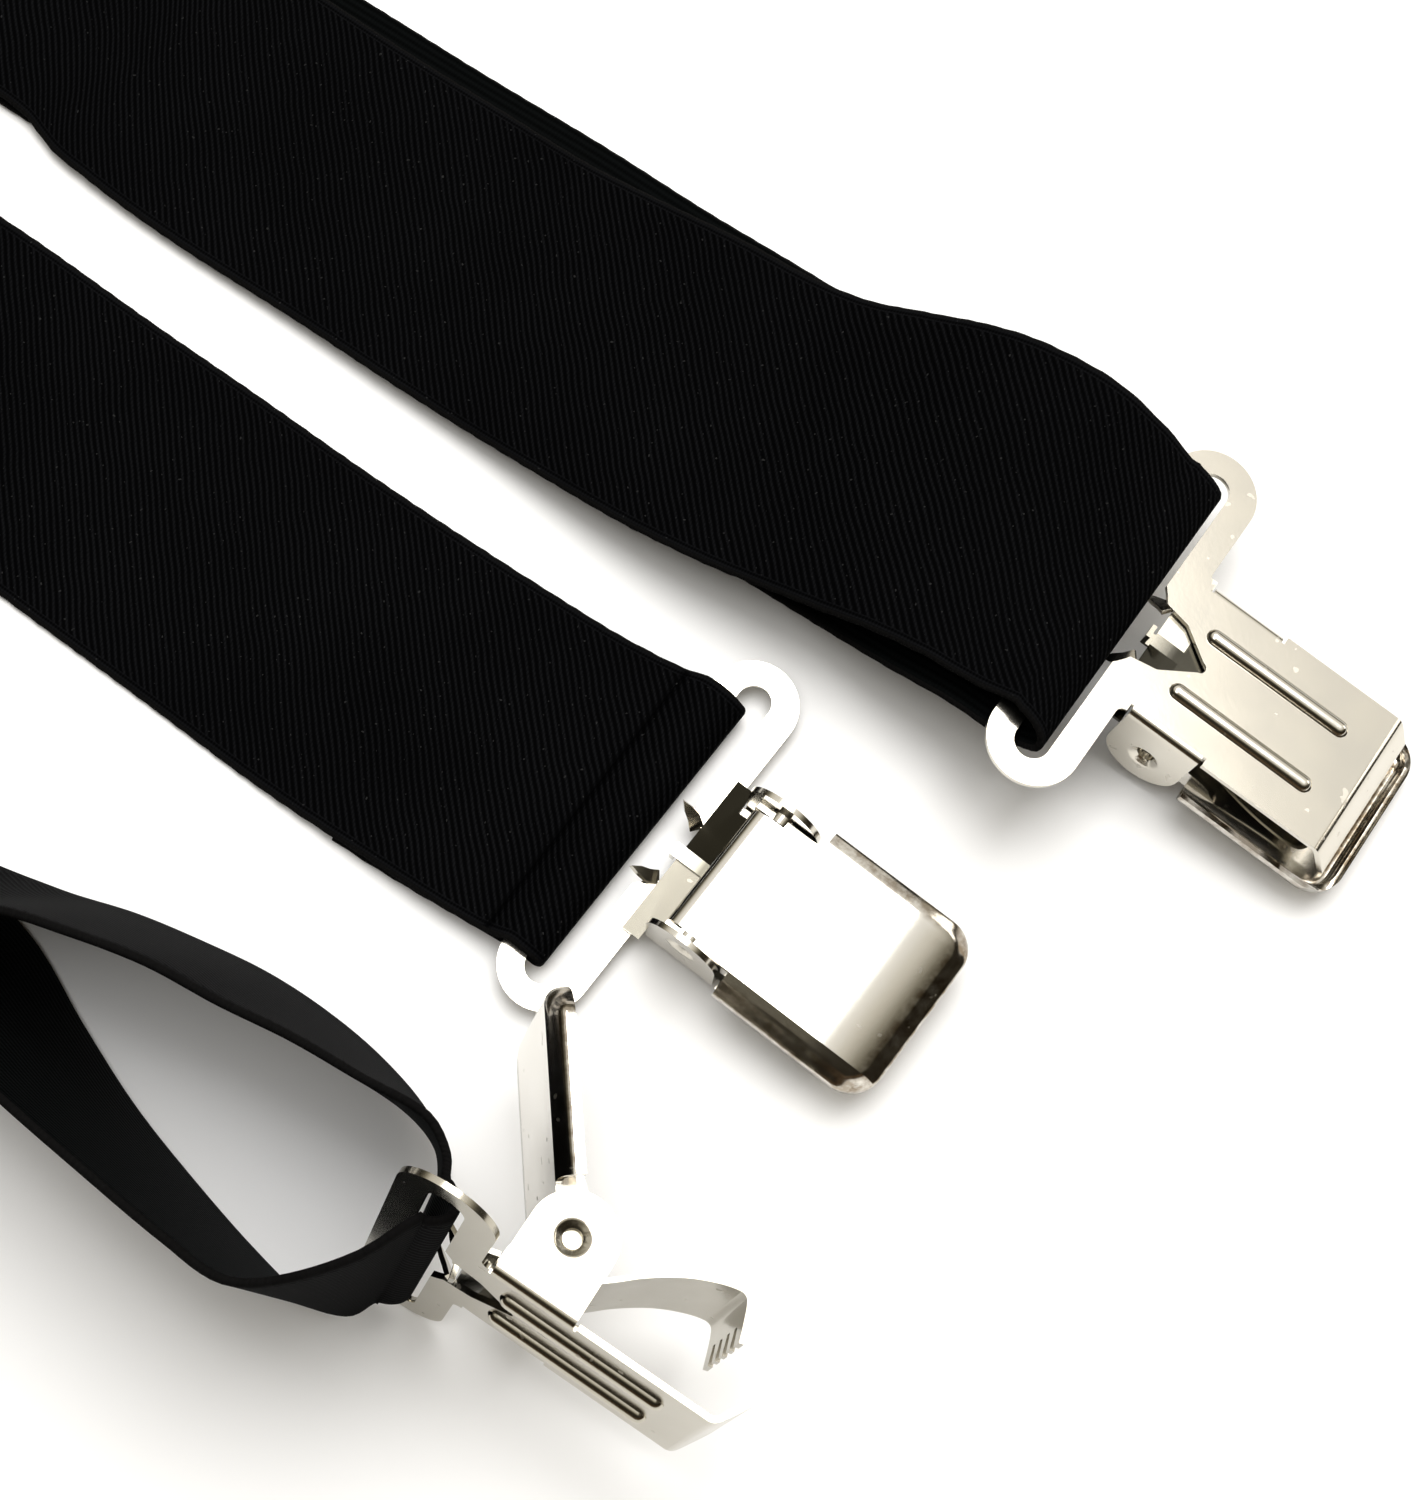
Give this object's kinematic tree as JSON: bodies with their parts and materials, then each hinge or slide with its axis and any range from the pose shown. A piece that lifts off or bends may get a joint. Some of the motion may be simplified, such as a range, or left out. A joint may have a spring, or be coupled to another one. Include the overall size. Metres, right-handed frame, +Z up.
{
  "type": "suspenders",
  "caption": "Y-back suspenders of wide black twill elastic, folded at the shoulders, with sprung steel lever clips, slide adjusters and a sewn yoke patch.",
  "frame": {"origin": "on the table under the middle of the laid-out set", "axes": "+X along the straps towards the clips, +Y from the left front strap to the right front strap, +Z up from the table"},
  "size_m": [0.5495, 0.2388, 0.0628],
  "materials": {
    "clip_steel": "polished nickel plate on stamped steel",
    "lever_steel": "mirror-polished nickel plate",
    "jaw_steel": "nickel plate, slightly duller spring steel",
    "slide_steel": "nickel-plated stamped slide",
    "webbing": "black twill-faced elastic webbing",
    "patch_leather": "black fine-grained leather",
    "thread": "black polyester sewing thread"
  },
  "bodies": {
    "harness": {"rear_strap": "webbing", "rear_strap_stitches": "thread", "right_shoulder_strap": "webbing", "right_front_strap": "webbing", "right_return_strap": "webbing", "left_shoulder_strap": "webbing", "left_front_strap": "webbing", "left_return_strap": "webbing", "right_slide": "slide_steel", "left_slide": "slide_steel", "right_return_stitches": "thread", "left_return_stitches": "thread", "yoke_patch_front": "patch_leather", "yoke_patch_back": "patch_leather", "yoke_patch_stitches": "thread"},
    "rear_clip": {"rear_clip_frame": "clip_steel"},
    "rear_lever": {"rear_clip_lever": "lever_steel"},
    "rear_jaw": {"rear_clip_jaw": "jaw_steel"},
    "right_clip": {"right_clip_frame": "clip_steel"},
    "right_lever": {"right_clip_lever": "lever_steel"},
    "right_jaw": {"right_clip_jaw": "jaw_steel"},
    "left_clip": {"left_clip_frame": "clip_steel"},
    "left_lever": {"left_clip_lever": "lever_steel"},
    "left_jaw": {"left_clip_jaw": "jaw_steel"}
  },
  "joints": [
    {"name": "rear_clip_swing", "type": "hinge", "parent": "harness", "child": "rear_clip", "pos_m": [0.1837, 0.0116, 0.0039], "axis": [-0.0192, -0.9998, 0], "range_deg": [0, 30]},
    {"name": "rear_lever_hinge", "type": "hinge", "parent": "rear_clip", "child": "rear_lever", "pos_m": [0.20407, 0.01121, 0.01178], "axis": [-0.0192, -0.9998, 0], "range_deg": [0, 127]},
    {"name": "rear_jaw_rock", "type": "hinge", "parent": "rear_clip", "child": "rear_jaw", "pos_m": [0.19555, 0.01137, 0.00444], "axis": [-0.0192, -0.9998, 0], "range_deg": [0, 15.4]},
    {"name": "right_clip_swing", "type": "hinge", "parent": "harness", "child": "right_clip", "pos_m": [0.2223, 0.0763, 0.0188], "axis": [0.0136, -0.9934, 0.1141], "range_deg": [0, 50]},
    {"name": "right_lever_hinge", "type": "hinge", "parent": "right_clip", "child": "right_lever", "pos_m": [0.241, 0.07527, 0.00757], "axis": [-0.0136, 0.9934, -0.1141], "range_deg": [0, 127]},
    {"name": "right_jaw_rock", "type": "hinge", "parent": "right_clip", "child": "right_jaw", "pos_m": [0.23388, 0.07616, 0.01622], "axis": [-0.0136, 0.9934, -0.1141], "range_deg": [0, 15.4]},
    {"name": "left_clip_swing", "type": "hinge", "parent": "harness", "child": "left_clip", "pos_m": [0.1986, -0.0565, 0.0322], "axis": [0.1123, 0.2309, 0.9665], "range_deg": [-18, 12]},
    {"name": "left_lever_hinge", "type": "hinge", "parent": "left_clip", "child": "left_lever", "pos_m": [0.21761, -0.04676, 0.02766], "axis": [0.1123, 0.2309, 0.9665], "range_deg": [-127, 0]},
    {"name": "left_jaw_rock", "type": "hinge", "parent": "left_clip", "child": "left_jaw", "pos_m": [0.2102, -0.05474, 0.03043], "axis": [0.1123, 0.2309, 0.9665], "range_deg": [-15.4, 0]}
  ],
  "couplings": [
    {"joint": "rear_jaw_rock", "follows": "rear_lever_hinge", "ratio": 0.1212},
    {"joint": "right_jaw_rock", "follows": "right_lever_hinge", "ratio": 0.1212},
    {"joint": "left_jaw_rock", "follows": "left_lever_hinge", "ratio": 0.1212}
  ]
}
